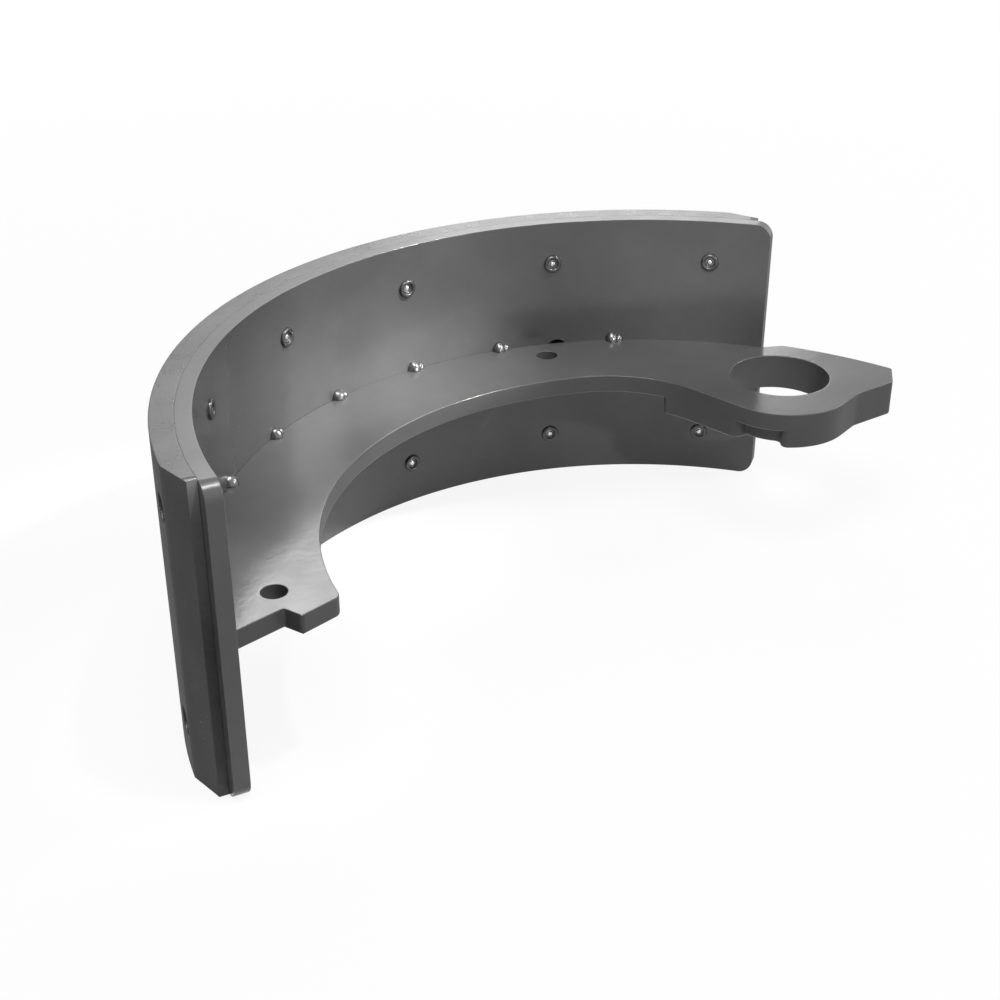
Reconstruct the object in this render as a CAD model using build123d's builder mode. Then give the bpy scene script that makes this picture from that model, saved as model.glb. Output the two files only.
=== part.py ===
# Brake shoe for a wide drum: a rolled table, a web welded inside it, a doubler round the
# anchor bore and a riveted lining.
# Millimetres and degrees. The origin is on the drum's axis at the middle of the shoe's width,
# +Z runs along that axis and +Y through the middle of the table. The anchor end is at +X.
from build123d import *

import os
from math import cos, degrees, radians, sin, sqrt

# Lining and table
drum_radius = 190.5
shoe_width = 126.4
lining_thickness = 8.8
table_thickness = 6.3
table_arc_angle = 137.8
table_corner_radius = 7.0
lining_setback_anchor = 7.8
lining_setback_foot = 6.5
chamfer_length = 14.5
chamfer_depth = 5.0

# Web, with depths measured inwards from the table's inner face
web_thickness = 8.0
web_depth = 41.3
spring_hole_radius = 4.8
web_hole_depth = 13.0

# Anchor eye, in a frame on the bore whose first axis points away from the drum's axis.
# The bore stands past the table's end by an angle, and the headings turn from that axis.
anchor_depth = 28.9
anchor_past_angle = 5.55
anchor_bore_radius = 22.2
eye_corner = (-51.1, -26.4)
eye_step = (-5.2, -36.9)
eye_nose = (14.1, -48.3)
eye_edge_heading_angle = 71.0
nose_heading_angle = 14.3
nose_rise = 5.4
ramp_length = 10.4
ramp_round = 6.0
crest_round = 52.0
lobe_round = 30.5
step_round = 10.0
nose_round = 3.0
tip_round = 2.0

# Foot, as depths and as angles back from the table's end
foot_tip_angle = 1.8
foot_heel_depth = 20.4
foot_heel_angle = 4.2
foot_shoulder_depth = 24.7
foot_shoulder_angle = 1.5
foot_pad_angle = 4.0
foot_pad_round = 4.0
foot_hole_depth = 20.4
foot_hole_angle = 8.6

# Doubler under the web, and the notch that runs round the eye's lobe
doubler_thickness = 8.0
doubler_reach_angle = 15.1
notch_depth = 6.2
notch_start_angle = 159.0
notch_arc_angle = 37.6
notch_round = 5.0
notch_wall_round = 3.0

# Weld beads between web and table, spread from the table's locating hole
locating_hole_radius = 5.6
locating_hole_angle = 32.0
web_hole_past_angle = 2.9
bead_leg = 3.7
bead_gap_angle = 9.1
bead_pitch_angle = 14.7
bead_count = 7

# Tubular rivets
rivet_count = 6
rivet_end_angle = 8.8
rivet_edge_margin = 19.6
rivet_shank_radius = 2.4
rivet_clearance = 0.1
rivet_head_radius = 4.8
rivet_head_thickness = 1.2
head_clearance = 0.8
lining_grip = 3.2
clinch_radius = 3.7
clinch_height = 1.5
clinch_round = 0.7
hollow_radius = 1.6
hollow_depth = 5.0
hollow_round = 0.4

# Radii
table_radius = drum_radius - lining_thickness
web_radius = table_radius - table_thickness
web_inner_radius = web_radius - web_depth
nose_radius = web_radius + nose_rise
rivet_hole_radius = rivet_shank_radius + rivet_clearance

# Angles about the drum's axis, counted from +X, with the table centred on +Y
middle_angle = 90
table_start = middle_angle - table_arc_angle / 2
table_end = middle_angle + table_arc_angle / 2
lining_start = table_start + degrees(lining_setback_anchor / table_radius)
lining_end = table_end - degrees(lining_setback_foot / table_radius)
chamfer_angle = degrees(chamfer_length / drum_radius)
anchor_angle = table_start - anchor_past_angle
doubler_end = table_start + doubler_reach_angle
locating_angle = table_start + locating_hole_angle
foot_tip_at = table_end - foot_tip_angle
rivet_start = table_start + rivet_end_angle
rivet_pitch_angle = (table_arc_angle - 2 * rivet_end_angle) / (rivet_count - 1)
ramp_drop_angle = degrees(sqrt(ramp_length**2 - nose_rise**2) / web_radius)


def polar(radius, angle):
    """Point at a radius and an angle about the drum's axis."""
    return Vector(radius * cos(radians(angle)), radius * sin(radians(angle)))


def reach(start, heading, radius):
    """Point where a line from inside a circle about the drum's axis leaves that circle."""
    step = polar(1, heading)
    along = start.dot(step)
    return start + step * (sqrt(along**2 - start.dot(start) + radius**2) - along)


def radial_plane(radius, angle, height):
    """Plane that faces away from the drum's axis."""
    point = polar(radius, angle)
    return Plane(origin=(point.X, point.Y, height), x_dir=(0, 0, 1), z_dir=polar(1, angle))


rivet_row_height = shoe_width / 2 - rivet_edge_margin
rivet_spots = [
    (rivet_start + rivet_pitch_angle * step, height)
    for height in (-rivet_row_height, rivet_row_height)
    for step in range(rivet_count)
]

# Anchor eye: corners of its outline
anchor_centre = polar(web_radius - anchor_depth, anchor_angle)
eye = Plane(origin=anchor_centre, x_dir=polar(1, anchor_angle), z_dir=(0, 0, 1))
corner = eye.from_local_coords(eye_corner)
step_corner = eye.from_local_coords(eye_step)
nose = eye.from_local_coords(eye_nose)
nose_tip = reach(nose, anchor_angle + nose_heading_angle, nose_radius)
crest = reach(corner, anchor_angle + eye_edge_heading_angle, web_inner_radius)
ramp_foot = polar(web_radius, table_start)
ramp_top = polar(nose_radius, table_start - ramp_drop_angle)

# Foot: corners of its outline
foot_tip = polar(web_radius, foot_tip_at)
heel = polar(web_radius - foot_heel_depth, table_end - foot_heel_angle)
shoulder = polar(web_radius - foot_shoulder_depth, table_end - foot_shoulder_angle)
pad_end = polar(web_inner_radius, table_end - foot_pad_angle)

# Outline that the web and the doubler share at the anchor end
with BuildSketch() as web_face:
    with BuildLine():
        Polyline(crest, corner, step_corner, nose, nose_tip)
        RadiusArc(nose_tip, ramp_top, -nose_radius)
        Line(ramp_top, ramp_foot)
        CenterArc((0, 0), web_radius, table_start, foot_tip_at - table_start)
        Polyline(foot_tip, heel, shoulder, pad_end)
        RadiusArc(pad_end, crest, web_inner_radius)
    make_face()
    for point, radius in (
        (crest, crest_round),
        (corner, lobe_round),
        (step_corner, step_round),
        (nose, nose_round),
        (nose_tip, tip_round),
        (ramp_top, ramp_round),
        (pad_end, foot_pad_round),
    ):
        fillet(web_face.vertices().sort_by_distance(point)[0], radius)
    with Locations(anchor_centre):
        Circle(anchor_bore_radius, mode=Mode.SUBTRACT)

# Web: one flat plate with the eye, the foot and two spring holes
with BuildPart() as web:
    extrude(web_face.sketch, amount=web_thickness / 2, both=True)
    with Locations(
        polar(web_radius - web_hole_depth, locating_angle + web_hole_past_angle),
        polar(web_radius - foot_hole_depth, table_end - foot_hole_angle),
    ):
        Hole(spring_hole_radius)

# Doubler: flush with the eye, cut off along a ray, with a notch that runs round the eye's lobe
lobe_centre = web_face.edges().filter_by(GeomType.CIRCLE).sort_by_distance(corner)[0].arc_center
with BuildSketch(Plane.XY.offset(-web_thickness / 2)) as doubler_face:
    add(web_face.sketch)
    split(bisect_by=Plane(origin=(0, 0, 0), z_dir=polar(1, doubler_end + 90)), keep=Keep.BOTTOM)
    with BuildLine():
        notch_start = anchor_angle + notch_start_angle
        notch_floor = CenterArc(lobe_centre, lobe_round - notch_depth, notch_start, notch_arc_angle)
        notch_mouth = CenterArc(lobe_centre, lobe_round + notch_depth, notch_start, notch_arc_angle)
        Line(notch_floor @ 0, notch_mouth @ 0)
        Line(notch_floor @ 1, notch_mouth @ 1)
    make_face(mode=Mode.SUBTRACT)
    fillet(doubler_face.vertices().sort_by_distance(notch_floor @ 0)[1], notch_round)
    fillet(doubler_face.vertices().sort_by_distance(notch_floor @ 1)[:2], notch_wall_round)

with BuildPart() as doubler:
    extrude(doubler_face.sketch, amount=-doubler_thickness)

# Table: rolled plate with rounded corners, rivet holes and a locating hole
with BuildPart() as table:
    with BuildSketch():
        with BuildLine():
            outer_face = CenterArc((0, 0), table_radius, table_start, table_arc_angle)
            inner_face = CenterArc((0, 0), web_radius, table_start, table_arc_angle)
            Line(outer_face @ 0, inner_face @ 0)
            Line(outer_face @ 1, inner_face @ 1)
        make_face()
    extrude(amount=shoe_width / 2, both=True)
    fillet(table.edges().filter_by(GeomType.LINE).filter_by(Axis.Z, reverse=True), table_corner_radius)
    with Locations(*[radial_plane(table_radius, angle, height) for angle, height in rivet_spots]):
        Hole(rivet_hole_radius, depth=2 * table_thickness)
    with Locations(radial_plane(table_radius, locating_angle, 0)):
        Hole(locating_hole_radius, depth=2 * table_thickness)

# Lining: chamfered at both ends, with a counterbore for each rivet head
with BuildPart() as lining:
    with BuildSketch():
        with BuildLine():
            friction_face = CenterArc(
                (0, 0),
                drum_radius,
                lining_start + chamfer_angle,
                lining_end - lining_start - 2 * chamfer_angle,
            )
            seat_face = CenterArc((0, 0), table_radius, lining_start, lining_end - lining_start)
            Polyline(seat_face @ 0, polar(drum_radius - chamfer_depth, lining_start), friction_face @ 0)
            Polyline(seat_face @ 1, polar(drum_radius - chamfer_depth, lining_end), friction_face @ 1)
        make_face()
    extrude(amount=shoe_width / 2, both=True)
    with Locations(*[radial_plane(drum_radius, angle, height) for angle, height in rivet_spots]):
        CounterBoreHole(
            rivet_hole_radius,
            rivet_head_radius + head_clearance,
            lining_thickness - lining_grip,
            depth=2 * lining_thickness,
        )

# Rivet: flat head in the lining, hollow end clinched against the table's curved inner face
clinch_seat = sqrt(web_radius**2 - clinch_radius**2)
clinch_end = clinch_seat - clinch_height
head_seat = table_radius + lining_grip
with BuildPart() as rivet:
    with BuildSketch() as rivet_profile:
        with BuildLine():
            Polyline(
                (clinch_end + hollow_depth, 0),
                (clinch_end + hollow_depth, hollow_radius),
                (clinch_end, hollow_radius),
                (clinch_end, clinch_radius),
                (clinch_seat, clinch_radius),
                (clinch_seat, rivet_shank_radius),
                (head_seat, rivet_shank_radius),
                (head_seat, rivet_head_radius),
                (head_seat + rivet_head_thickness, rivet_head_radius),
                (head_seat + rivet_head_thickness, 0),
                close=True,
            )
        make_face()
        clinch_corner = rivet_profile.vertices().sort_by_distance((clinch_end, clinch_radius))[0]
        fillet(clinch_corner, clinch_round)
        hollow_corner = rivet_profile.vertices().sort_by_distance((clinch_end, hollow_radius))[0]
        fillet(hollow_corner, hollow_round)
    revolve(axis=Axis.X)

with BuildPart() as rivets:
    with Locations(*[Location((0, 0, height), (0, 0, angle)) for angle, height in rivet_spots]):
        add(rivet.part)

# Weld bead: a quarter of a ball in the corner between web and table, on both sides of the web
with BuildPart() as bead:
    with Locations((web_radius, 0, web_thickness / 2)):
        Sphere(bead_leg)
    Cylinder(web_radius, shoe_width, mode=Mode.INTERSECT)
    split(bisect_by=Plane.XY.offset(web_thickness / 2), keep=Keep.TOP)
    mirror(about=Plane.XY)

bead_angles = [locating_angle + bead_gap_angle + bead_pitch_angle * step for step in range(bead_count)]
bead_angles.append(locating_angle - bead_gap_angle)
with BuildPart() as weld_beads:
    with Locations(*[Location((0, 0, 0), (0, 0, angle)) for angle in bead_angles]):
        add(bead.part)

table.part.label = "table"
web.part.label = "web"
doubler.part.label = "doubler"
lining.part.label = "lining"
rivets.part.label = "rivets"
weld_beads.part.label = "weld_beads"

os.makedirs("parts", exist_ok=True)
export_step(table.part, "parts/table.step")
export_step(web.part, "parts/web.step")
export_step(doubler.part, "parts/doubler.step")
export_step(lining.part, "parts/lining.step")
export_step(rivets.part, "parts/rivets.step")
export_step(weld_beads.part, "parts/weld_beads.step")
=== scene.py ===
"""Looks of a riveted drum brake shoe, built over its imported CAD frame.

Sizes are in millimetres and are turned to metres where a mesh is made. The origin is on the
drum's axis at the middle of the shoe's width, +Z runs along that axis and +Y through the middle
of the rolled table.
"""

import logging
import math
import random
from dataclasses import dataclass, field, replace
from enum import Enum
from typing import Callable, Iterable

import bmesh
import bpy
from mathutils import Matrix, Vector, noise


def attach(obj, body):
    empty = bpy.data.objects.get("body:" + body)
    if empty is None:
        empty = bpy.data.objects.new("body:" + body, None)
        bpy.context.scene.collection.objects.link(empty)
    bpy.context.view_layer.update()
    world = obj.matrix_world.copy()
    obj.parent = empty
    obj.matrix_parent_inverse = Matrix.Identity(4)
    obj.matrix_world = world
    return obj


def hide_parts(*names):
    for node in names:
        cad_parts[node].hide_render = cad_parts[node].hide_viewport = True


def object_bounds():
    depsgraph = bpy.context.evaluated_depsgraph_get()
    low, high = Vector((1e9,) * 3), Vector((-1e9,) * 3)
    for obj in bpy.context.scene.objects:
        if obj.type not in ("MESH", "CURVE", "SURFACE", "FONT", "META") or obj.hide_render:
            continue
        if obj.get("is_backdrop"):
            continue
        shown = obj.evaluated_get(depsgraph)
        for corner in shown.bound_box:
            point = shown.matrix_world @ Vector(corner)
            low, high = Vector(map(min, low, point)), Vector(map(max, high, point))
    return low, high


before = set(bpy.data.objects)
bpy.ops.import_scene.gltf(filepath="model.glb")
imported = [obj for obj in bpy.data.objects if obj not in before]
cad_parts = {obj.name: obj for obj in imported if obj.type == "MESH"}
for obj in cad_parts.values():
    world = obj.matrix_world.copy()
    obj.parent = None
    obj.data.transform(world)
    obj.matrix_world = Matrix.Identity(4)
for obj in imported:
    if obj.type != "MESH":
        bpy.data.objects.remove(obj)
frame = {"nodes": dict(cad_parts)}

MM = 0.001
BODY = "root"
WEB_THICKNESS = 8.0
DOUBLER_THICKNESS = 8.0
WHITE = (1.0, 1.0, 1.0, 1.0)

# Sockets of Blender's mix node that hold colours.
MIX_COLOURS = (6, 7)
MIX_RESULT = 2

Point = tuple[float, float]
Span = tuple[float, float]
Loop = list[Point]
Profile = list[Point]
Spread = Callable[[float, float, float], Vector]
Socket = bpy.types.NodeSocket

log = logging.getLogger("brake_shoe")


class Slot(Enum):
    """Material slots of the record."""

    PAINT = "painted_steel"
    WELD = "weld"
    FRICTION = "friction_material"
    RIVET = "rivet_steel"


class Turn(Enum):
    """Which way round a loop of points runs."""

    ANTICLOCKWISE = 1
    CLOCKWISE = -1


class CutFaces(Enum):
    """Which faces of a steel piece were sheared or flame cut, and so are rougher; their coat is
    also darkened there as painted shade.
    """

    PLATE_EDGES = "edges of a flat plate"
    TABLE_ENDS = "ends of the rolled table"


def direction(azimuth: float, elevation: float) -> Vector:
    """Direction that two angles give.

    Args:
        azimuth: Turn from +X towards +Y, in degrees.
        elevation: Rise above the level, in degrees.

    Returns:
        The unit vector.
    """
    turn, rise = math.radians(azimuth), math.radians(elevation)
    level = math.cos(rise)
    return Vector((level * math.cos(turn), level * math.sin(turn), math.sin(rise)))


def signed_area(loop: Loop) -> float:
    """Area inside a loop, negative where the loop runs clockwise."""
    return 0.5 * sum(a[0] * b[1] - b[0] * a[1] for a, b in zip(loop, loop[1:] + loop[:1]))


def turned(loop: Loop, turn: Turn) -> Loop:
    """The same loop, run in the wanted direction."""
    return loop if signed_area(loop) * turn.value > 0 else loop[::-1]


def circle(centre: Point, radius: float, count: int) -> Loop:
    """Evenly spaced points round a circle."""
    steps = (2 * math.pi * step / count for step in range(count))
    return [(centre[0] + radius * math.cos(a), centre[1] + radius * math.sin(a)) for a in steps]


def refined(loop: Loop, step: float, sharp: float = 20.0, uneven: float = 2.5) -> Loop:
    """Adds points to a loop so that its arcs run smoothly.

    Args:
        loop: Points that lie on the true outline.
        step: Longest gap between two points of the result.
        sharp: Turn, in degrees, from which a point counts as a corner.
        uneven: Ratio of two sides from which the longer one counts as tangent.

    Returns:
        The loop with more points.
    """
    spots = [Vector(p) for p in loop]
    sides = [b - a for a, b in zip(spots, spots[1:] + spots[:1])]
    before, after = [], []
    for back, ahead in zip(sides[-1:] + sides[:-1], sides):
        first, second = back.normalized(), ahead.normalized()
        middle = (first * ahead.length + second * back.length).normalized()
        if back.angle(ahead) > math.radians(sharp):
            before.append(first)
            after.append(second)
            continue
        if back.length > uneven * ahead.length:
            middle = first
        elif ahead.length > uneven * back.length:
            middle = second
        before.append(middle)
        after.append(middle)
    result = []
    for i, side in enumerate(sides):
        a, b = spots[i], spots[(i + 1) % len(spots)]
        leave, arrive = after[i] * side.length, before[(i + 1) % len(spots)] * side.length
        count = max(1, math.ceil(side.length / step))
        for k in range(count):
            t = k / count
            near = (1 + 2 * t) * (1 - t) ** 2
            point = a * near + b * (1 - near)
            point += leave * t * (1 - t) ** 2 + arrive * t * t * (t - 1)
            result.append((point.x, point.y))
    return result


def gap_to(point: Point, loop: Loop) -> float:
    """Shortest distance from a point to a loop.

    Args:
        point: The point.
        loop: Corners of the closed loop.

    Returns:
        The distance to the nearest side.
    """
    spot = Vector(point)
    best = math.inf
    for a, b in zip(loop, loop[1:] + loop[:1]):
        start, side = Vector(a), Vector((b[0] - a[0], b[1] - a[1]))
        share = max(0.0, min(1.0, (spot - start).dot(side) / side.length_squared))
        best = min(best, (spot - start - side * share).length)
    return best


def inward(loop: Loop) -> list[Vector]:
    """Mitred directions to the left of a loop at each of its points.

    Args:
        loop: Points that run anticlockwise round the material or clockwise round a hole.

    Returns:
        One vector a point, as long as the mitre asks for at an inset of one.
    """
    normals = []
    for a, b in zip(loop, loop[1:] + loop[:1]):
        along = Vector((b[0] - a[0], b[1] - a[1])).normalized()
        normals.append(Vector((-along.y, along.x)))
    return [(n + m) / (1 + n.dot(m)) for m, n in zip(normals[-1:] + normals[:-1], normals)]


@dataclass(frozen=True)
class EdgeForm:
    """How far the two edges of a cut wall are rounded, and how finely."""

    upper: float
    lower: float
    steps: int = 5
    support: float = 0.35

    def rounded(self, radius: float, level: float, sense: int) -> Profile:
        """Points over one rounded edge, from the flat face to the wall.

        Args:
            radius: Radius of the rounding.
            level: Height of the flat face.
            sense: 1 where the flat face looks up and -1 where it looks down.

        Returns:
            Pairs of inset and height, the first one a support line on the flat face.
        """
        points = [(radius + self.support, level)]
        for step in range(self.steps + 1):
            turn = math.pi / 2 * step / self.steps
            inset = radius * (1 - math.sin(turn))
            points.append((inset, level - sense * radius * (1 - math.cos(turn))))
        points.append((0, level - sense * (radius + self.support)))
        return points

    def wall(self, top: float, bottom: float) -> Profile:
        """Points from the upper face, down a straight wall, to the lower face."""
        return self.rounded(self.upper, top, 1) + self.rounded(self.lower, bottom, -1)[::-1]


@dataclass
class PlateMesh:
    """A plate with holes and rounded edges, drawn flat and then spread in space."""

    mesh: bmesh.types.BMesh = field(default_factory=bmesh.new)
    upper: list[bmesh.types.BMEdge] = field(default_factory=list)
    lower: list[bmesh.types.BMEdge] = field(default_factory=list)
    cut_tolerance: float = 1e-5

    def add_wall(self, loop: Loop, profile: Profile | list[Profile]) -> None:
        """Adds the wall that follows a loop.

        Args:
            loop: Points that run anticlockwise round the material or clockwise round a hole.
            profile: Pairs of inset and height, from the upper face to the lower one, or a
                list with such pairs for each point of the loop.
        """
        count = len(loop)
        own = profile if isinstance(profile[0], list) else [profile] * count
        columns = []
        for point, aim, pairs in zip(loop, inward(loop), own):
            column = []
            for inset, height in pairs:
                spot = (point[0] + aim.x * inset, point[1] + aim.y * inset, height)
                column.append(self.mesh.verts.new(spot))
            columns.append(column)
        rings = list(zip(*columns))
        for above, below in zip(rings, rings[1:]):
            for i in range(count):
                j = (i + 1) % count
                self.mesh.faces.new((above[i], above[j], below[j], below[i]))
        for ring, edges in ((rings[0], self.upper), (rings[-1], self.lower)):
            pairs = zip(ring, ring[1:] + ring[:1])
            edges.extend(self.mesh.edges.get(pair) for pair in pairs)

    def add_hole(self, centre: Point, radius: float, count: int, profile: Profile) -> None:
        """Adds the wall of a round hole."""
        self.add_wall(turned(circle(centre, radius, count), Turn.CLOCKWISE), profile)

    def close(self) -> None:
        """Fills the upper and the lower face between their loops."""
        for edges, up in ((self.upper, 1), (self.lower, -1)):
            bmesh.ops.triangle_fill(
                self.mesh, use_beauty=True, use_dissolve=False, edges=edges, normal=(0, 0, up)
            )
        bmesh.ops.recalc_face_normals(self.mesh, faces=self.mesh.faces[:])

    def slice(self, stations: Iterable[float]) -> None:
        """Cuts the plate across, so that it can be bent.

        Args:
            stations: Lengths along the plate at which it is cut.
        """
        for station in stations:
            geometry = self.mesh.verts[:] + self.mesh.edges[:] + self.mesh.faces[:]
            bmesh.ops.bisect_plane(
                self.mesh,
                geom=geometry,
                dist=self.cut_tolerance,
                plane_co=(station, 0, 0),
                plane_no=(1, 0, 0),
            )

    def spread(self, place: Spread) -> None:
        """Moves each point from the flat drawing to its place in space.

        Args:
            place: Gives that place from a point's length, height and depth.
        """
        for vert in self.mesh.verts:
            vert.co = place(*vert.co)
        bmesh.ops.recalc_face_normals(self.mesh, faces=self.mesh.faces[:])


def mesh_object(name: str, mesh: bmesh.types.BMesh) -> bpy.types.Object:
    """Links a finished mesh to the scene.

    Args:
        name: Name of the new piece.
        mesh: Mesh in millimetres; it is freed here.

    Returns:
        The new object, in metres and shaded smooth.
    """
    bmesh.ops.scale(mesh, vec=(MM, MM, MM), verts=mesh.verts[:])
    data = bpy.data.meshes.new(name)
    mesh.to_mesh(data)
    mesh.free()
    data.shade_smooth()
    piece = bpy.data.objects.new(name, data)
    bpy.context.scene.collection.objects.link(piece)
    return piece


def traced_loops(node: bpy.types.Object, height: float) -> list[Loop]:
    """Outlines of a CAD node's flat face at one height, the outer one first.

    Args:
        node: A CAD node of the frame.
        height: Height of the face along Z, in millimetres.

    Returns:
        Closed loops in millimetres.
    """
    grain = 1e-3
    spots = [v.co / MM for v in node.data.vertices]
    keys = [(round(s.x / grain), round(s.y / grain)) for s in spots]
    flat = [abs(s.z - height) < grain for s in spots]
    uses: dict[tuple, int] = {}
    for face in node.data.polygons:
        corners = list(face.vertices)
        if all(flat[c] for c in corners):
            for a, b in zip(corners, corners[1:] + corners[:1]):
                side = (keys[a], keys[b])
                uses[side] = uses.get(side, 0) + 1
    onward = {a: b for (a, b) in uses if (b, a) not in uses}
    loops = []
    while onward:
        start, here = onward.popitem()
        chain = [start]
        while here != start:
            chain.append(here)
            here = onward.pop(here)
        loops.append([(x * grain, y * grain) for x, y in chain])
    return sorted(loops, key=lambda loop: -abs(signed_area(loop)))


def round_hole(loop: Loop, count: int) -> Loop:
    """Draws a traced round hole again with finer steps.

    Args:
        loop: Traced points of the hole.
        count: Number of points of the new loop.

    Returns:
        The new loop, clockwise.
    """
    centre = (sum(p[0] for p in loop) / len(loop), sum(p[1] for p in loop) / len(loop))
    radius = sum(math.dist(p, centre) for p in loop) / len(loop)
    return turned(circle(centre, radius, count), Turn.CLOCKWISE)


def dress(piece: bpy.types.Object, node: str, material: bpy.types.Material) -> None:
    """Gives a piece its material and lets it stand for a CAD node.

    Args:
        piece: The new piece.
        node: The CAD node that it replaces.
        material: The finished material.
    """
    piece.data.materials.append(material)
    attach(piece, BODY)
    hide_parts(node)
    log.info("%s: %d faces", piece.name, len(piece.data.polygons))


def joined(tree: bpy.types.NodeTree, operation: str, *values: Socket) -> Socket:
    """Joins one or two values by one of Blender's math operations.

    Args:
        tree: Node tree that gets the new node.
        operation: Name of the operation.
        *values: Sockets with the values.

    Returns:
        The socket with the result.
    """
    node = tree.nodes.new("ShaderNodeMath")
    node.operation = operation
    for value, socket in zip(values, node.inputs):
        tree.links.new(value, socket)
    return node.outputs[0]


class MaterialGraph:
    """Adds nodes to one material, with its main shader at hand."""

    def __init__(self, name: str) -> None:
        """Starts an empty graph with a shader and its coordinates.

        Args:
            name: Name of the material.
        """
        self.material = bpy.data.materials.new(name)
        self.material.use_nodes = True
        self.tree = self.material.node_tree
        self.shader = self.tree.nodes["Principled BSDF"]
        self.place = self.tree.nodes.new("ShaderNodeTexCoord")

    def link(self, source: Socket, target: Socket) -> None:
        """Joins two sockets."""
        self.tree.links.new(source, target)

    def joined(self, operation: str, *values: Socket) -> Socket:
        """Joins one or two values by one of Blender's math operations."""
        return joined(self.tree, operation, *values)

    def vectors(self, operation: str, *values: Socket) -> bpy.types.Node:
        """Adds one of Blender's vector operations.

        Args:
            operation: Name of the operation.
            *values: Sockets with the vectors.

        Returns:
            The new node.
        """
        node = self.tree.nodes.new("ShaderNodeVectorMath")
        node.operation = operation
        for value, socket in zip(values, node.inputs):
            self.link(value, socket)
        return node

    def noise(self, scale: float, detail: float, roughness: float = 0.5) -> Socket:
        """Adds cloudy noise.

        Args:
            scale: About how many clouds lie side by side in a metre.
            detail: Number of finer layers.
            roughness: Strength of each finer layer by the one before it.

        Returns:
            The socket with a value from 0 to 1.
        """
        node = self.tree.nodes.new("ShaderNodeTexNoise")
        node.inputs["Scale"].default_value = scale
        node.inputs["Detail"].default_value = detail
        node.inputs["Roughness"].default_value = roughness
        self.link(self.place.outputs["Object"], node.inputs["Vector"])
        return node.outputs["Fac"]

    def cells(self, scale: float) -> Socket:
        """Adds a cell pattern.

        Args:
            scale: About how many cells lie side by side in a metre.

        Returns:
            The socket with the distance to the nearest cell's middle.
        """
        node = self.tree.nodes.new("ShaderNodeTexVoronoi")
        node.inputs["Scale"].default_value = scale
        self.link(self.place.outputs["Object"], node.inputs["Vector"])
        return node.outputs["Distance"]

    def spread(self, source: Socket, band: Span = (0.3, 0.7), result: Span = (0.0, 1.0)) -> Socket:
        """Maps a value from one range to another and clamps it.

        Args:
            source: Socket with the value.
            band: Range of the value that is used.
            result: Values at the two ends of that range.

        Returns:
            The socket with the mapped value.
        """
        node = self.tree.nodes.new("ShaderNodeMapRange")
        for socket, value in zip(("From Min", "From Max", "To Min", "To Max"), (*band, *result)):
            node.inputs[socket].default_value = value
        self.link(source, node.inputs["Value"])
        return node.outputs["Result"]

    def greys(self, source: Socket, dark: float, light: float, band: Span = (0.3, 0.7)) -> Socket:
        """Maps a value to greys.

        Args:
            source: Socket with a value from 0 to 1.
            dark: Grey at the lower end of the band.
            light: Grey at the upper end of the band.
            band: Range of the value over which the grey runs.

        Returns:
            The socket with the colour.
        """
        node = self.tree.nodes.new("ShaderNodeValToRGB")
        for element, position, grey in zip(node.color_ramp.elements, band, (dark, light)):
            element.position = position
            element.color = (grey, grey, grey, 1)
        self.link(source, node.inputs["Fac"])
        return node.outputs["Color"]

    def mixed(self, factor: Socket, first: Socket, second: Socket) -> Socket:
        """Blends two colours.

        Args:
            factor: Share of the second colour, from 0 to 1.
            first: Colour where that share is 0.
            second: Colour where it is 1.

        Returns:
            The socket with the blend.
        """
        node = self.tree.nodes.new("ShaderNodeMix")
        node.data_type = "RGBA"
        self.link(factor, node.inputs["Factor"])
        for colour, socket in zip((first, second), MIX_COLOURS):
            self.link(colour, node.inputs[socket])
        return node.outputs[MIX_RESULT]

    def upright(self) -> Socket:
        """How far a face looks along the drum's axis.

        Returns:
            The socket with a value from 0 to 1.
        """
        parts = self.tree.nodes.new("ShaderNodeSeparateXYZ")
        self.link(self.place.outputs["Normal"], parts.inputs[0])
        return self.joined("ABSOLUTE", parts.outputs["Z"])

    def endways(self) -> Socket:
        """How far a face looks round the drum's axis.

        Returns:
            The socket with a value that is 1 at the anchor end and -1 at the foot.
        """
        across = self.vectors("CROSS_PRODUCT", self.place.outputs["Object"])
        across.inputs[1].default_value = (0, 0, 1)
        even = self.vectors("NORMALIZE", across.outputs["Vector"])
        share = self.vectors("DOT_PRODUCT", even.outputs["Vector"], self.place.outputs["Normal"])
        return share.outputs["Value"]

    def carried(self, name: str) -> Socket:
        """Value that a mesh carries at each of its points.

        Args:
            name: Name of the mesh's attribute.

        Returns:
            The socket with the value.
        """
        attribute = self.tree.nodes.new("ShaderNodeAttribute")
        attribute.attribute_name = name
        return attribute.outputs["Fac"]

    def pointiness(self) -> Socket:
        """How far the surface bulges or hollows, about 0.5 where it is flat."""
        return self.tree.nodes.new("ShaderNodeNewGeometry").outputs["Pointiness"]

    def finished(self, colour: Socket, gloss: Socket, relief: Socket) -> bpy.types.Material:
        """Gives the shader its looks.

        Args:
            colour: Socket with the colour.
            gloss: Socket with the roughness.
            relief: Socket with the normal.

        Returns:
            The finished material.
        """
        self.link(colour, self.shader.inputs["Base Color"])
        self.link(gloss, self.shader.inputs["Roughness"])
        self.link(relief, self.shader.inputs["Normal"])
        return self.material


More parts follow.
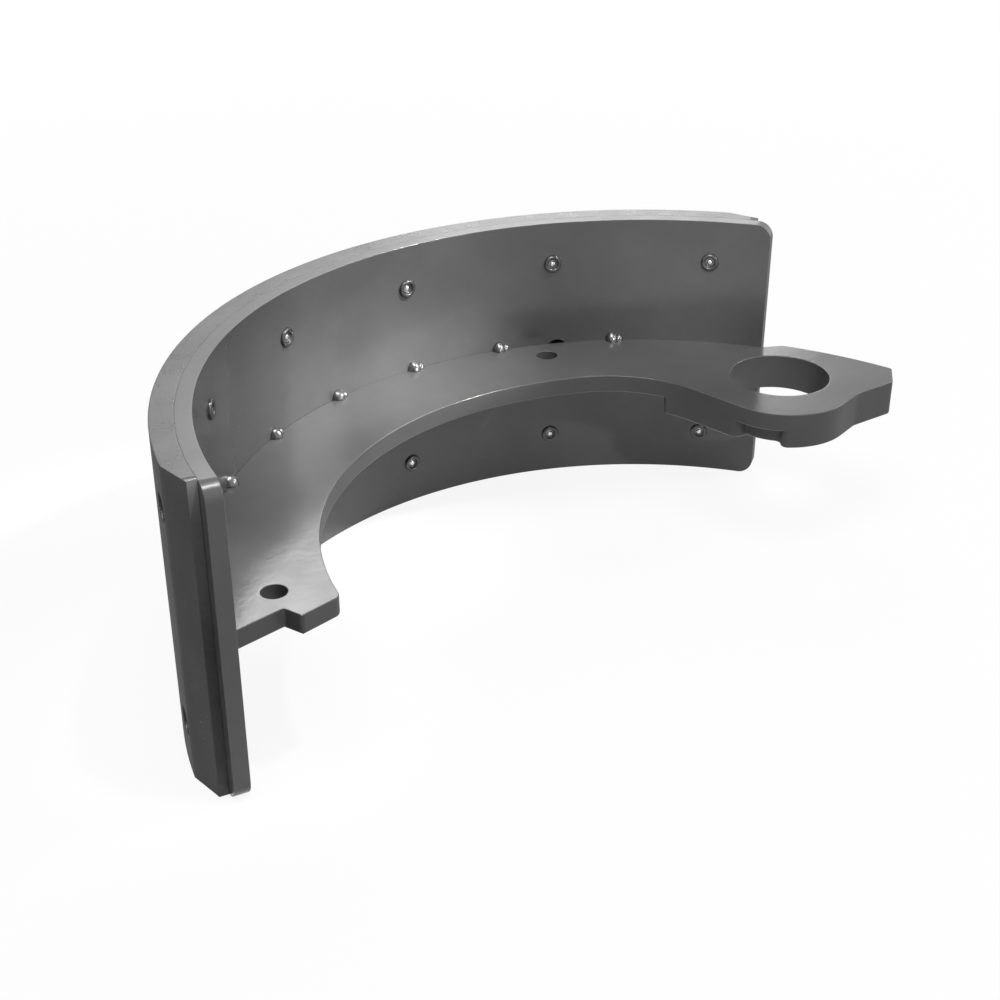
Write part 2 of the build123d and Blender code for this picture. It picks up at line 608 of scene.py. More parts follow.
@dataclass(frozen=True)
class Relief:
    """Cloudy relief on a surface; its depth is in metres."""

    scale: float
    detail: float
    depth: float
    strength: float
    roughness: float = 0.5

    def over(self, graph: MaterialGraph, under: Socket | None = None) -> Socket:
        """Adds the relief.

        Args:
            graph: The material's graph.
            under: Relief that this one lies on.

        Returns:
            The socket with the normal.
        """
        node = graph.tree.nodes.new("ShaderNodeBump")
        node.inputs["Strength"].default_value = self.strength
        node.inputs["Distance"].default_value = self.depth
        height = graph.noise(self.scale, self.detail, self.roughness)
        graph.link(height, node.inputs["Height"])
        if under is not None:
            graph.link(under, node.inputs["Normal"])
        return node.outputs["Normal"]


@dataclass(frozen=True)
class Flecks:
    """Small round flecks that come in patches."""

    scale: float
    size: float
    patch_scale: float
    patch_detail: float
    patch_band: Span

    def mask(self, graph: MaterialGraph) -> Socket:
        """Adds the flecks.

        Args:
            graph: The material's graph.

        Returns:
            The socket that is 1 on a fleck and 0 beside it.
        """
        patches = graph.noise(self.patch_scale, self.patch_detail)
        reach = graph.spread(patches, self.patch_band, (0.0, self.size))
        return graph.joined("LESS_THAN", graph.cells(self.scale), reach)


@dataclass(frozen=True)
class PaintFinish:
    """Satin metallic grey coat over steel, with orange peel, dust and rubbed edges."""

    name: str
    dark: float = 0.066
    light: float = 0.09
    cloud_scale: float = 16
    metal: float = 0.2
    gloss: Span = (0.17, 0.24)
    gloss_scale: float = 70
    worn: float = 0.18
    worn_dim: float = 0.7
    edge_band: Span = (0.56, 0.66)
    scuff_scale: float = 260
    scuff_band: Span = (0.5, 0.68)
    dust: float = 0.17
    dust_dim: float = 0.6
    flecks: Flecks = Flecks(330, 0.1, 38, 3, (0.56, 0.72))
    sag: Relief = Relief(45, 2, 0.00035, 0.35)
    peel: Relief = Relief(420, 3, 0.00006, 0.6)
    cut: CutFaces = CutFaces.PLATE_EDGES
    cut_rough: float = 0.34
    # Share of the coat's grey kept on the masked faces: a painted shade that darkens the plates'
    # walls, or the table's ends and rims
    shade_dim: float = 0.6
    wall_band: Span = (0.1, 0.4)
    end_band: Span = (0.9, 0.98)
    # The table's rims get this share of the painted shade and of the extra roughness
    rim_band: Span = (0.6, 0.8)
    rim_share: float = 0.3

    def rubbed_mask(self, graph: MaterialGraph) -> Socket:
        """Finds the scuffed edges.

        Args:
            graph: The paint's graph.

        Returns:
            The socket with the share of worn coat.
        """
        edges = graph.spread(graph.pointiness(), self.edge_band)
        scuffs = graph.spread(graph.noise(self.scuff_scale, detail=4), self.scuff_band)
        return graph.joined("MULTIPLY", edges, scuffs)

    def shade_and_rough_mask(self, graph: MaterialGraph) -> Socket:
        """Finds the cut faces, which are rougher and get a painted shade.

        Args:
            graph: The paint's graph.

        Returns:
            The socket with the share of painted shade and extra roughness.
        """
        # Plate walls: every face that does not look along the drum's axis is darkened as painted
        # shade
        if self.cut is CutFaces.PLATE_EDGES:
            return graph.spread(graph.upright(), self.wall_band, (1.0, 0.0))
        # Table: the whole anchor end, part of the foot end and part of the rims are darkened as
        # painted shade
        ends = graph.endways()
        anchor_end = graph.spread(ends, self.end_band)
        foot_band = (-self.end_band[1], -self.end_band[0])
        foot_end = graph.spread(ends, foot_band, (self.rim_share, 0.0))
        rims = graph.spread(graph.upright(), self.rim_band, (0.0, self.rim_share))
        return graph.joined("ADD", anchor_end, graph.joined("ADD", foot_end, rims))

    def build(self) -> bpy.types.Material:
        """Builds the paint.

        Returns:
            The finished material.
        """
        graph = MaterialGraph(self.name)
        cloud = graph.noise(self.cloud_scale, detail=6, roughness=0.6)
        coat = graph.greys(cloud, self.dark, self.light)
        # Painted shade: the coat's greys dimmed for the masked faces
        dimmed = graph.greys(cloud, self.dark * self.shade_dim, self.light * self.shade_dim)
        worn = graph.greys(cloud, self.worn * self.worn_dim, self.worn)
        dust = graph.greys(cloud, self.dust * self.dust_dim, self.dust)
        cut = self.shade_and_rough_mask(graph)
        # Masked faces take the dimmed coat as painted shade; rubbed edges then show the worn grey
        # on top
        colour = graph.mixed(self.rubbed_mask(graph), graph.mixed(cut, coat, dimmed), worn)
        colour = graph.mixed(self.flecks.mask(graph), colour, dust)
        graph.shader.inputs["Metallic"].default_value = self.metal
        gloss = graph.spread(graph.noise(self.gloss_scale, detail=5), result=self.gloss)
        coarse = graph.spread(cut, (0.0, 1.0), (0.0, self.cut_rough))
        relief = self.peel.over(graph, self.sag.over(graph))
        return graph.finished(colour, graph.joined("ADD", gloss, coarse), relief)


@dataclass(frozen=True)
class FrictionFinish:
    """Moulded friction material: smooth sides, ground face and ends, flecks and small pits."""

    name: str
    dark: float = 0.042
    light: float = 0.074
    cloud_scale: float = 60
    cloud_band: Span = (0.35, 0.65)
    metal: float = 0.2
    gloss: Span = (0.25, 0.35)
    gloss_scale: float = 120
    chip: float = 0.15
    chip_dim: float = 0.5
    chips: Flecks = Flecks(420, 0.16, 150, 2, (0.45, 0.7))
    pits: Relief = Relief(180, 6, 0.00016, 0.4, 0.7)
    grain: Relief = Relief(900, 4, 0.00008, 0.5, 0.7)
    ground_band: Span = (0.6, 0.8)
    ground_rough: float = 0.5
    ground_dull: float = 0.7

    def build(self) -> bpy.types.Material:
        """Builds the friction material.

        Returns:
            The finished material.
        """
        graph = MaterialGraph(self.name)
        cloud = graph.noise(self.cloud_scale, detail=8, roughness=0.7)
        smooth = graph.greys(cloud, self.dark, self.light, self.cloud_band)
        dull_tones = (self.dark * self.ground_dull, self.light * self.ground_dull)
        dimmed = graph.greys(cloud, *dull_tones, self.cloud_band)
        chip = graph.greys(cloud, self.chip * self.chip_dim, self.chip)
        ground = graph.spread(graph.upright(), self.ground_band, (1.0, 0.0))
        colour = graph.mixed(self.chips.mask(graph), graph.mixed(ground, smooth, dimmed), chip)
        graph.shader.inputs["Metallic"].default_value = self.metal
        gloss = graph.spread(graph.noise(self.gloss_scale, detail=5), result=self.gloss)
        coarse = graph.spread(ground, (0.0, 1.0), (0.0, self.ground_rough))
        relief = self.grain.over(graph, self.pits.over(graph))
        return graph.finished(colour, graph.joined("ADD", gloss, coarse), relief)


@dataclass(frozen=True)
class MetalFinish:
    """Glossy or plated metal with blotches and a fine grain, bare where it is rubbed."""

    name: str
    dark: float = 0.055
    light: float = 0.095
    cloud_scale: float = 380
    metal: float = 0.6
    gloss: Span = (0.1, 0.2)
    gloss_scale: float = 700
    grain: Relief = Relief(900, 4, 0.00005, 0.6)
    bare: float = 0.0
    bare_dim: float = 0.6

    def build(self) -> bpy.types.Material:
        """Builds the metal.

        Returns:
            The finished material.
        """
        graph = MaterialGraph(self.name)
        cloud = graph.noise(self.cloud_scale, detail=5, roughness=0.6)
        colour = graph.greys(cloud, self.dark, self.light)
        metallic = graph.shader.inputs["Metallic"]
        if self.bare > 0:
            rubbed = graph.carried("bare")
            bare = graph.greys(cloud, self.bare * self.bare_dim, self.bare)
            colour = graph.mixed(rubbed, colour, bare)
            graph.link(graph.spread(rubbed, (0.0, 1.0), (self.metal, 1.0)), metallic)
        else:
            metallic.default_value = self.metal
        gloss = graph.spread(graph.noise(self.gloss_scale, detail=4), result=self.gloss)
        return graph.finished(colour, gloss, self.grain.over(graph))


@dataclass
class Drum:
    """Sizes that the pieces round the drum share, and how flat drawings bend."""

    drum_radius: float = 190.5
    width: float = 126.4
    lining_thickness: float = 8.8
    table_thickness: float = 6.3
    arc_angle: float = 137.8
    middle_angle: float = 90.0
    rivet_count: int = 6
    rivet_end_angle: float = 8.8
    rivet_edge_margin: float = 19.6
    rivet_grip: float = 3.2
    rivet_hole_radius: float = 2.5
    locating_angle: float = 32.0
    slice_angle: float = 1.25

    @property
    def table_radius(self) -> float:
        """Radius where the lining lies on the table."""
        return self.drum_radius - self.lining_thickness

    @property
    def inner_radius(self) -> float:
        """Radius of the table's inner face."""
        return self.table_radius - self.table_thickness

    @property
    def start_angle(self) -> float:
        """Angle of the table's end beside the anchor eye."""
        return self.middle_angle - self.arc_angle / 2

    @property
    def end_angle(self) -> float:
        """Angle of the table's end beside the foot."""
        return self.middle_angle + self.arc_angle / 2

    def rivet_spots(self) -> list[Point]:
        """Places of the rivets.

        Returns:
            Pairs of angle and height, one row after the other.
        """
        pitch = (self.arc_angle - 2 * self.rivet_end_angle) / (self.rivet_count - 1)
        row = self.width / 2 - self.rivet_edge_margin
        first = self.start_angle + self.rivet_end_angle
        return [(first + pitch * i, z) for z in (-row, row) for i in range(self.rivet_count)]

    def along(self, angle: float) -> float:
        """Length along the table's outer face to an angle."""
        return math.radians(angle) * self.table_radius

    def bent(self, u: float, v: float, radius: float) -> Vector:
        """Place of a flat point: u along the table's outer face, v along the drum's axis."""
        angle = u / self.table_radius
        return Vector((radius * math.cos(angle), radius * math.sin(angle), v))

    def stations(self, start: float, end: float) -> list[float]:
        """Lengths at which a flat drawing between two angles is cut across."""
        count = math.ceil((end - start) / self.slice_angle)
        return [self.along(start + (end - start) * i / count) for i in range(1, count)]


@dataclass
class Table:
    """The rolled table."""

    drum: Drum
    corner_radius: float = 7.0
    corner_steps: int = 12
    locating_radius: float = 5.6
    rivet_hole_steps: int = 32
    locating_steps: int = 64
    edge: EdgeForm = EdgeForm(upper=0.12, lower=0.22)
    hole_edge: EdgeForm = EdgeForm(upper=0.2, lower=0.4, support=0.2)

    def outline(self) -> Loop:
        """Outline of the flat plate, with its rounded corners.

        Returns:
            The loop, anticlockwise.
        """
        radius = self.corner_radius
        half = self.drum.width / 2 - radius
        left = self.drum.along(self.drum.start_angle) + radius
        right = self.drum.along(self.drum.end_angle) - radius
        loop = []
        corners = ((right, half, 0), (left, half, 90), (left, -half, 180), (right, -half, 270))
        for x, y, first in corners:
            for step in range(self.corner_steps + 1):
                turn = math.radians(first + 90 * step / self.corner_steps)
                loop.append((x + radius * math.cos(turn), y + radius * math.sin(turn)))
        return loop

    def build(self, paint: bpy.types.Material) -> None:
        """Builds and paints the table.

        Args:
            paint: The paint of the table.
        """
        drum = self.drum
        plate = PlateMesh()
        wall = self.edge.wall(drum.table_radius, drum.inner_radius)
        plate.add_wall(self.outline(), wall)
        hole_wall = self.hole_edge.wall(drum.table_radius, drum.inner_radius)
        for angle, height in drum.rivet_spots():
            spot = (drum.along(angle), height)
            plate.add_hole(spot, drum.rivet_hole_radius, self.rivet_hole_steps, hole_wall)
        spot = (drum.along(drum.start_angle + drum.locating_angle), 0)
        plate.add_hole(spot, self.locating_radius, self.locating_steps, wall)
        plate.close()
        plate.slice(drum.stations(drum.start_angle, drum.end_angle))
        plate.spread(drum.bent)
        dress(mesh_object("rolled_table", plate.mesh), "table", paint)


@dataclass
class Lining:
    """The friction lining, chamfered at both ends and counterbored for the rivets."""

    drum: Drum
    setback_anchor: float = 7.8
    setback_foot: float = 6.5
    chamfer_length: float = 14.5
    chamfer_depth: float = 5.0
    bore_radius: float = 5.6
    bore_steps: int = 48
    seat_line: float = 0.3
    hole_line: float = 0.2
    edge: EdgeForm = EdgeForm(upper=0.35, lower=0.12, support=0.3)
    bore_edge: EdgeForm = EdgeForm(upper=0.5, lower=0.15, steps=4, support=0.2)

    @property
    def start_angle(self) -> float:
        """Angle of the end beside the anchor eye."""
        drum = self.drum
        return drum.start_angle + math.degrees(self.setback_anchor / drum.table_radius)

    @property
    def end_angle(self) -> float:
        """Angle of the end beside the foot."""
        drum = self.drum
        return drum.end_angle - math.degrees(self.setback_foot / drum.table_radius)

    @property
    def chamfer_angle(self) -> float:
        """Angle that each chamfer takes."""
        return math.degrees(self.chamfer_length / self.drum.drum_radius)

    def face_radius(self, angle: float) -> float:
        """Radius of the friction face, or of the chamfer where there is one.

        Args:
            angle: Angle about the drum's axis, in degrees.

        Returns:
            The radius in millimetres.
        """
        from_end = max(0.0, min(angle - self.start_angle, self.end_angle - angle))
        full = self.drum.drum_radius
        if from_end >= self.chamfer_angle:
            return full
        whole = math.radians(self.chamfer_angle)
        part = math.radians(from_end)
        low = full - self.chamfer_depth
        return low * full * math.sin(whole) / (
            full * math.sin(whole - part) + low * math.sin(part)
        )

    def placed(self, u: float, v: float, height: float) -> Vector:
        """Place of a point of the flat lining.

        Args:
            u: Length along the table's outer face.
            v: Height along the drum's axis.
            height: Share of the way from the table to the friction face.

        Returns:
            The point in the shoe's frame.
        """
        angle = math.degrees(u / self.drum.table_radius)
        seat = self.drum.table_radius
        return self.drum.bent(u, v, seat + height * (self.face_radius(angle) - seat))

    def scaled(self, profile: Profile) -> Profile:
        """The same section, with heights as shares of the lining's thickness."""
        return [(inset, height / self.drum.lining_thickness) for inset, height in profile]

    def bore(self) -> Profile:
        """Section of a rivet's counterbore.

        Returns:
            Pairs of inset and height, from the friction face to the table.
        """
        seat = self.drum.rivet_hole_radius - self.bore_radius
        grip = self.drum.rivet_grip
        points = self.bore_edge.rounded(self.bore_edge.upper, self.drum.lining_thickness, 1)
        points += [(0, grip + self.seat_line), (0, grip), (seat + self.seat_line, grip)]
        points += [(seat, grip), (seat, self.hole_line), (seat, 0), (seat + self.seat_line, 0)]
        return points

    def build(self, material: bpy.types.Material) -> None:
        """Builds and finishes the lining.

        Args:
            material: The friction material.
        """
        drum = self.drum
        half = drum.width / 2
        left = drum.along(self.start_angle)
        right = drum.along(self.end_angle)
        plate = PlateMesh()
        outline = [(right, half), (left, half), (left, -half), (right, -half)]
        plate.add_wall(outline, self.scaled(self.edge.wall(drum.lining_thickness, 0)))
        bore = self.scaled(self.bore())
        for angle, height in drum.rivet_spots():
            plate.add_hole((drum.along(angle), height), self.bore_radius, self.bore_steps, bore)
        plate.close()
        chamfers = (self.start_angle + self.chamfer_angle, self.end_angle - self.chamfer_angle)
        stations = drum.stations(self.start_angle, self.end_angle)
        plate.slice(stations + [drum.along(angle) for angle in chamfers])
        plate.spread(self.placed)
        dress(mesh_object("friction_lining", plate.mesh), "lining", material)


@dataclass
class FlatPlate:
    """A flat steel plate whose outline comes from a CAD node."""

    name: str
    node: str
    top: float
    bottom: float
    edge: EdgeForm
    closed_round: float = 0.02
    closed_gap: float = 0.3
    point_step: float = 1.6
    hole_count: int = 128

    def outline(self, source: bpy.types.Object) -> Loop:
        """Smooth outer outline of a CAD node's upper face."""
        outer = traced_loops(source, self.top)[0]
        return refined(turned(outer, Turn.ANTICLOCKWISE), self.point_step)

    def build(
        self, source: bpy.types.Object, paint: bpy.types.Material, under: Loop | None = None
    ) -> None:
        """Builds and paints the plate.

        Args:
            source: The CAD node that gives the outline.
            paint: The paint of the steel pieces.
            under: Outline of the plate below; where both are flush the lower edge is sharp.
        """
        plate = PlateMesh()
        wall = self.edge.wall(self.top, self.bottom)
        closed = replace(self.edge, lower=self.closed_round).wall(self.top, self.bottom)
        outer = self.outline(source)
        if under is None:
            plate.add_wall(outer, wall)
        else:
            flush = [gap_to(point, under) < self.closed_gap for point in outer]
            plate.add_wall(outer, [closed if is_flush else wall for is_flush in flush])
        for hole in traced_loops(source, self.top)[1:]:
            plate.add_wall(round_hole(hole, self.hole_count), closed)
        plate.close()
        dress(mesh_object(self.name, plate.mesh), self.node, paint)


@dataclass
class Rivets:
    """Tubular rivets: flat heads in the lining, ends rolled over inside the table."""

    drum: Drum
    shank_radius: float = 2.4
    head_radius: float = 4.8
    head_thickness: float = 1.2
    head_round: float = 0.35
    head_ring: float = 0.4
    clinch_radius: float = 4.1
    clinch_height: float = 1.3
    clinch_root: float = 0.2
    hollow_radius: float = 2.1
    hollow_depth: float = 1.5
    hollow_taper: float = 0.86
    bump_height: float = 1.0
    bump_radius: float = 1.45
    steps_round: int = 48
    steps_rolled: int = 12
    steps_bump: int = 6
    steps_head: int = 4
    wobble: float = 0.16
    wobble_scale: float = 1.3
    wobble_across: float = 0.6
    phase_reach: float = 20.0
    seed: int = 11

    def profile(self) -> Profile:
        """Half section of one rivet.

        Returns:
            Pairs of distance from the drum's axis and own radius.
        """
        seat = math.sqrt(self.drum.inner_radius**2 - self.clinch_radius**2)
        end = seat - self.clinch_height
        ring = (self.clinch_radius - self.hollow_radius) / 2
        middle = (self.clinch_radius + self.hollow_radius) / 2
        bottom = end + self.hollow_depth
        root = seat + self.clinch_root
        head = self.drum.table_radius + self.drum.rivet_grip
        top = head + self.head_thickness
        points = []
        for step in range(self.steps_bump):
            turn = math.pi / 2 * step / self.steps_bump
            reach = self.bump_radius * math.sin(turn)
            points.append((bottom - self.bump_height * math.cos(turn), reach))
        points.append((bottom, self.hollow_radius * self.hollow_taper))
        points.append((end + ring, self.hollow_radius))
        for step in range(self.steps_rolled + 1):
            turn = math.pi * step / self.steps_rolled
            points.append((end + ring - ring * math.sin(turn), middle - ring * math.cos(turn)))
        points += [(root, self.clinch_radius), (root, self.shank_radius)]
        points += [(head, self.shank_radius), (head, self.head_radius)]
        for step in range(self.steps_head + 1):
            turn = math.pi / 2 * step / self.steps_head
            rise = top - self.head_round * (1 - math.sin(turn))
            points.append((rise, self.head_radius - self.head_round * (1 - math.cos(turn))))
        points.append((top, self.head_radius - self.head_round - self.head_ring))
        points.append((top, 0.0))
        return points

    def unevenness(self, turn: float, phase: float) -> float:
        """How far the rolled end strays at one place.

        Args:
            turn: Angle round the rivet, in radians.
            phase: Place in the noise that makes each rivet its own.

        Returns:
            The distance in millimetres.
        """
        scale = self.wobble_scale
        spot = Vector((math.cos(turn) * scale + phase, math.sin(turn) * scale, phase))
        return self.wobble * noise.noise(spot)

    def add_rivet(self, mesh: bmesh.types.BMesh, angle: float, height: float, phase: float) -> None:
        """Adds one rivet to a mesh.

        Args:
            mesh: Mesh that holds all rivets.
            angle: Angle about the drum's axis, in degrees.
            height: Height along the drum's axis.
            phase: Place in the noise that makes each rivet its own.
        """
        aim = direction(angle, 0)
        side = Vector((-aim.y, aim.x, 0))
        up = Vector((0, 0, 1))
        foot = up * height
        bare = mesh.verts.layers.float["bare"]
        rings = []
        for index, (out, radius) in enumerate(self.profile()):
            if radius == 0:
                rings.append([mesh.verts.new(foot + aim * out)])
                rings[-1][0][bare] = 1.0
                continue
            ring = []
            for step in range(self.steps_round):
                turn = 2 * math.pi * step / self.steps_round
                uneven = self.unevenness(turn, phase) if out < self.drum.inner_radius else 0.0
                reach = radius + uneven * self.wobble_across
                around = side * math.cos(turn) + up * math.sin(turn)
                ring.append(mesh.verts.new(foot + aim * (out + uneven) + around * reach))
                ring[-1][bare] = float(index < self.steps_bump or out > self.drum.table_radius)
            rings.append(ring)
        for first, second in zip(rings, rings[1:]):
            for i in range(self.steps_round):
                j = (i + 1) % self.steps_round
                if len(first) == 1:
                    mesh.faces.new((first[0], second[j], second[i]))
                elif len(second) == 1:
                    mesh.faces.new((first[i], first[j], second[0]))
                else:
                    mesh.faces.new((first[i], first[j], second[j], second[i]))

    def build(self, material: bpy.types.Material) -> None:
        """Builds and finishes all rivets as one piece.

        Args:
            material: The plated steel.
        """
        draw = random.Random(self.seed)
        mesh = bmesh.new()
        mesh.verts.layers.float.new("bare")
        for angle, height in self.drum.rivet_spots():
            self.add_rivet(mesh, angle, height, draw.uniform(0, self.phase_reach))
        bmesh.ops.recalc_face_normals(mesh, faces=mesh.faces[:])
        dress(mesh_object("tubular_rivets", mesh), "rivets", material)


@dataclass
class WeldBeads:
    """Short weld beads in the corner between web and table, on both sides of the web."""

    drum: Drum
    leg: float = 4.4
    gap_angle: float = 9.1
    pitch_angle: float = 14.7
    count: int = 7
    steps_along: int = 36
    steps_across: int = 12
    root: float = 0.25
    blob_place: float = -0.24
    blob_reach: float = 0.74
    tail_place: float = 0.56
    tail_reach: float = 0.42
    tail_size: float = 0.66
    waver: float = 0.06
    waver_scale: float = 1.6
    lump: float = 0.05
    lump_scales: Span = (2.0, 1.5)
    phase_reach: float = 50.0
    seed: int = 5

    def angles(self) -> list[float]:
        """Places of the beads on each side of the web.

        Returns:
            The angle of each bead about the drum's axis, in degrees.
        """
        hole = self.drum.start_angle + self.drum.locating_angle
        after = [hole + self.gap_angle + self.pitch_angle * i for i in range(self.count)]
        return [hole - self.gap_angle] + after

    def swell(self, along: float, phase: float) -> float:
        """Size of a bead's section at a place along it.

        Args:
            along: Place from -1 to 1; the blob is at the end that lies at -1.
            phase: Place in the noise that makes each bead its own.

        Returns:
            The section's size as a share of the leg.
        """
        blob_at = (along - self.blob_place) / self.blob_reach
        tail_at = (along - self.tail_place) / self.tail_reach
        blob = math.sqrt(max(0.0, 1 - blob_at**2))
        tail = self.tail_size * math.sqrt(max(0.0, 1 - tail_at**2))
        waver = self.waver * noise.noise(Vector((along * self.waver_scale, phase, 0)))
        return max(blob, tail) * (1 + waver)

    def add_bead(self, mesh: bmesh.types.BMesh, angle: float, side: int, phase: float) -> None:
        """Adds one bead to a mesh.

        Args:
            mesh: Mesh that holds all beads.
            angle: Angle about the drum's axis, in degrees.
            side: 1 above the web and -1 below it.
            phase: Place in the noise that makes each bead its own.
        """
        rows = []
        for i in range(self.steps_along + 1):
            along = -math.cos(math.pi * i / self.steps_along)
            size = self.leg * self.swell(along, phase)
            turn = math.radians(angle) - along * self.leg / self.drum.inner_radius
            row = []
            for j in range(self.steps_across + 1):
                across = math.pi / 2 * j / self.steps_across
                spot = Vector((along * self.lump_scales[0], across * self.lump_scales[1], phase))
                reach = size * (1 + self.lump * noise.noise(spot))
                radius = self.drum.inner_radius - reach * math.cos(across) + self.root
                height = side * (WEB_THICKNESS / 2 + reach * math.sin(across) - self.root)
                spot = (radius * math.cos(turn), radius * math.sin(turn), height)
                row.append(mesh.verts.new(spot))
            rows.append(row)
        for first, second in zip(rows, rows[1:]):
            for j in range(self.steps_across):
                corners = (first[j], first[j + 1], second[j + 1], second[j])
                mesh.faces.new(corners if side > 0 else corners[::-1])

    def build(self, material: bpy.types.Material) -> None:
        """Builds and finishes all beads as one piece.

        Args:
            material: The glossy weld metal.
        """
        draw = random.Random(self.seed)
        mesh = bmesh.new()
        for side in (1, -1):
            for angle in self.angles():
                self.add_bead(mesh, angle, side, draw.uniform(0, self.phase_reach))
        dress(mesh_object("weld_spots", mesh), "weld_beads", material)


def hang(name: str, data: bpy.types.ID, place: Vector, aim: Vector) -> bpy.types.Object:
    """Links a lamp or a camera to the scene.

    Args:
        name: Name of the new object.
        data: Its lamp or camera data.
        place: Its place, in metres.
        aim: The direction in which it looks.

    Returns:
        The new object.
    """
    thing = bpy.data.objects.new(name, data)
    thing.location = place
    thing.rotation_euler = aim.to_track_quat("-Z", "Y").to_euler()
    bpy.context.scene.collection.objects.link(thing)
    return thing


@dataclass(frozen=True)
class Softbox:
    """One soft rectangular light that faces the origin, in metres and degrees."""

    name: str
    azimuth: float
    elevation: float
    distance: float
    width: float
    height: float
    radiance: float

    def build(self) -> None:
        """Hangs the light."""
        data = bpy.data.lights.new(self.name, "AREA")
        data.shape = "RECTANGLE"
        data.size = self.width
        data.size_y = self.height
        data.energy = self.radiance * math.pi * self.width * self.height
        place = direction(self.azimuth, self.elevation) * self.distance
        hang(self.name, data, place, -place)


@dataclass(frozen=True)
class SpotBeam:
    """One narrow soft-edged beam, aimed at a place on the object, in metres and degrees.

    Its flatness is the height of the lit patch by the patch's width.
    """

    name: str
    azimuth: float
    elevation: float
    distance: float
    target: tuple[float, float, float]
    cone_angle: float
    power: float
    flatness: float = 1.0
    lamp_radius: float = 0.05

    def build(self) -> None:
        """Hangs the beam at its distance from the target."""
        data = bpy.data.lights.new(self.name, "SPOT")
        data.spot_size = math.radians(self.cone_angle)
        data.spot_blend = 1.0
        data.energy = self.power
        data.shadow_soft_size = self.lamp_radius
        back = direction(self.azimuth, self.elevation)
        lamp = hang(self.name, data, Vector(self.target) + back * self.distance, -back)
        lamp.scale = (1.0, self.flatness, 1.0)


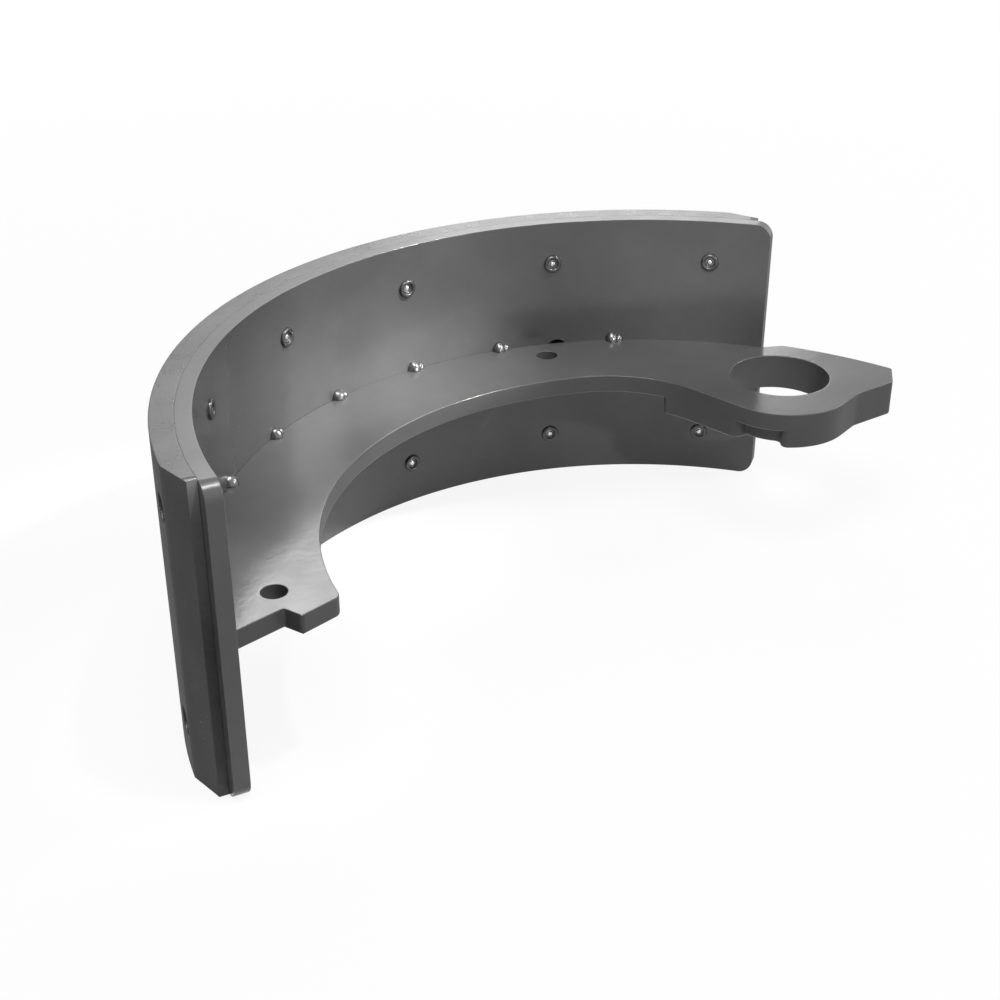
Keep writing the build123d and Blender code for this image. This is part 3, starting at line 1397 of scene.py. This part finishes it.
@dataclass
class Studio:
    """Camera, pale floor, white surroundings and soft lights."""

    picture_size: int = 1000
    focal_pixels: float = 1591.35
    sensor_width: float = 36.0
    camera_place: tuple[float, float, float] = (-0.4473, -0.2910, 0.2984)
    heading: float = 40.167
    pitch: float = 28.44
    near_clip: float = 0.01
    floor_size: float = 9.0
    floor_cells: int = 8
    floor_grey: float = 0.7
    floor_rough: float = 0.9
    floor_white: float = 0.9
    shadow_reach: float = 0.35
    white_reach: float = 1.1
    surround: float = 0.05
    lights: tuple[Softbox | SpotBeam, ...] = (
        Softbox("back_light", 37, 17.5, 2.6, 0.8, 0.35, 4.3),
        Softbox("high_light", 47, 36, 2.3, 0.8, 0.5, 6.6),
        Softbox("side_light", 290, 30, 2.2, 0.7, 0.7, 8.0),
        Softbox("right_light", 330, 32, 2.2, 0.7, 0.7, 14.0),
        Softbox("top_light", 190, 75, 2.0, 1.2, 1.2, 8.0),
        SpotBeam("corner_beam", 306, 47, 1.0, (0.0, 0.157, 0.006), 9.5, 145.0),
        SpotBeam("foot_beam", 300, 72, 1.0, (-0.13, 0.094, 0.004), 8.0, 42.0),
        SpotBeam("wall_beam", 254, 20, 1.0, (0.042, 0.17, 0.008), 7.0, 68.0, 0.4, 0.01),
        SpotBeam("web_beam", 240, 38, 1.0, (0.152, 0.088, 0.022), 7.5, 55.0),
    )

    def add_camera(self) -> None:
        """Adds the camera that took the photograph."""
        data = bpy.data.cameras.new("camera")
        data.sensor_width = self.sensor_width
        data.lens = self.focal_pixels / self.picture_size * self.sensor_width
        data.clip_start = self.near_clip
        aim = direction(self.heading, -self.pitch)
        camera = hang("camera", data, Vector(self.camera_place), aim)
        bpy.context.scene.camera = camera

    def seen_plainly(self, tree: bpy.types.NodeTree) -> Socket:
        """Adds the test for what the camera sees, straight or in a gloss or through glass.

        Args:
            tree: Node tree of the floor or the world.

        Returns:
            The socket that is 1 for such a ray.
        """
        path = tree.nodes.new("ShaderNodeLightPath")
        either = path.outputs["Is Camera Ray"]
        for kind in ("Is Glossy Ray", "Is Transmission Ray"):
            either = joined(tree, "MAXIMUM", either, path.outputs[kind])
        return either

    def floor_material(self) -> bpy.types.Material:
        """White as it is seen, with a share of real floor that carries the shoe's shadow.

        Returns:
            The finished material.
        """
        graph = MaterialGraph("pale_floor")
        grey = self.floor_grey
        graph.shader.inputs["Base Color"].default_value = (grey, grey, grey, 1)
        graph.shader.inputs["Roughness"].default_value = self.floor_rough
        glow = graph.tree.nodes.new("ShaderNodeEmission")
        glow.inputs["Color"].default_value = WHITE
        away = graph.vectors("LENGTH", graph.place.outputs["Object"])
        fade_band = (self.shadow_reach, self.white_reach)
        white = graph.spread(away.outputs["Value"], fade_band, (self.floor_white, 1.0))
        mix = graph.tree.nodes.new("ShaderNodeMixShader")
        seen = self.seen_plainly(graph.tree)
        graph.link(graph.joined("MULTIPLY", seen, white), mix.inputs["Fac"])
        graph.link(graph.shader.outputs["BSDF"], mix.inputs[1])
        graph.link(glow.outputs["Emission"], mix.inputs[2])
        output = graph.tree.nodes["Material Output"]
        graph.link(mix.outputs["Shader"], output.inputs["Surface"])
        return graph.material

    def add_floor(self, height: float) -> None:
        """Adds the floor under the shoe.

        Args:
            height: Height of the floor, in metres.
        """
        cells = self.floor_cells
        mesh = bmesh.new()
        bmesh.ops.create_grid(mesh, x_segments=cells, y_segments=cells, size=self.floor_size / 2)
        data = bpy.data.meshes.new("floor")
        mesh.to_mesh(data)
        mesh.free()
        data.materials.append(self.floor_material())
        floor = bpy.data.objects.new("floor", data)
        floor.location = (0, 0, height)
        bpy.context.scene.collection.objects.link(floor)
        floor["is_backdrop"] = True

    def add_surroundings(self) -> None:
        """Sets the world: plain white for the camera, dimmer as a light."""
        world = bpy.data.worlds.new("surroundings")
        bpy.context.scene.world = world
        world.use_nodes = True
        nodes = world.node_tree.nodes
        links = world.node_tree.links
        lit = nodes["Background"]
        lit.inputs["Color"].default_value = WHITE
        lit.inputs["Strength"].default_value = self.surround
        white = nodes.new("ShaderNodeBackground")
        white.inputs["Color"].default_value = WHITE
        mix = nodes.new("ShaderNodeMixShader")
        links.new(self.seen_plainly(world.node_tree), mix.inputs["Fac"])
        links.new(lit.outputs["Background"], mix.inputs[1])
        links.new(white.outputs["Background"], mix.inputs[2])
        links.new(mix.outputs["Shader"], nodes["World Output"].inputs["Surface"])

    def build(self, floor_height: float) -> None:
        """Builds the whole studio.

        Args:
            floor_height: Height of the floor, in metres.
        """
        bpy.context.scene.view_settings.view_transform = "Standard"
        self.add_camera()
        self.add_floor(floor_height)
        self.add_surroundings()
        for light in self.lights:
            light.build()
        log.info("studio: %d lights", len(self.lights))


def plain(box: Iterable[Iterable[float]]) -> list[list[float]]:
    """A box as plain lists of numbers."""
    return [[float(value) for value in corner] for corner in box]


def main() -> None:
    """Builds every piece in order."""
    logging.basicConfig(level=logging.INFO, format="%(name)s: %(message)s")
    cad_box = plain(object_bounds())
    nodes = frame["nodes"]
    # The web's and doubler's walls get a painted shade through the dimmed coat
    paint = PaintFinish("plate_paint").build()
    # The table's ends and rims get a stronger painted shade
    table_paint = PaintFinish("table_paint", cut=CutFaces.TABLE_ENDS, shade_dim=0.4).build()
    weld = MetalFinish("glossy_weld", dark=0.11, light=0.19, metal=0.8).build()
    friction = FrictionFinish("friction_compound").build()
    plated = MetalFinish("plated_steel", bare=0.75).build()
    drum = Drum()
    Table(drum).build(table_paint)
    Lining(drum).build(friction)
    web_half = WEB_THICKNESS / 2
    doubler_edge = EdgeForm(upper=0.02, lower=0.8)
    doubler_bottom = -web_half - DOUBLER_THICKNESS
    doubler = FlatPlate("doubler_plate", "doubler", -web_half, doubler_bottom, doubler_edge)
    doubler.build(nodes["doubler"], paint)
    web = FlatPlate("web_plate", "web", web_half, -web_half, EdgeForm(upper=0.3, lower=0.7))
    web.build(nodes["web"], paint, doubler.outline(nodes["doubler"]))
    Rivets(drum).build(plated)
    WeldBeads(drum).build(weld)
    Studio().build(cad_box[0][2])


if __name__ == "__main__":
    main()
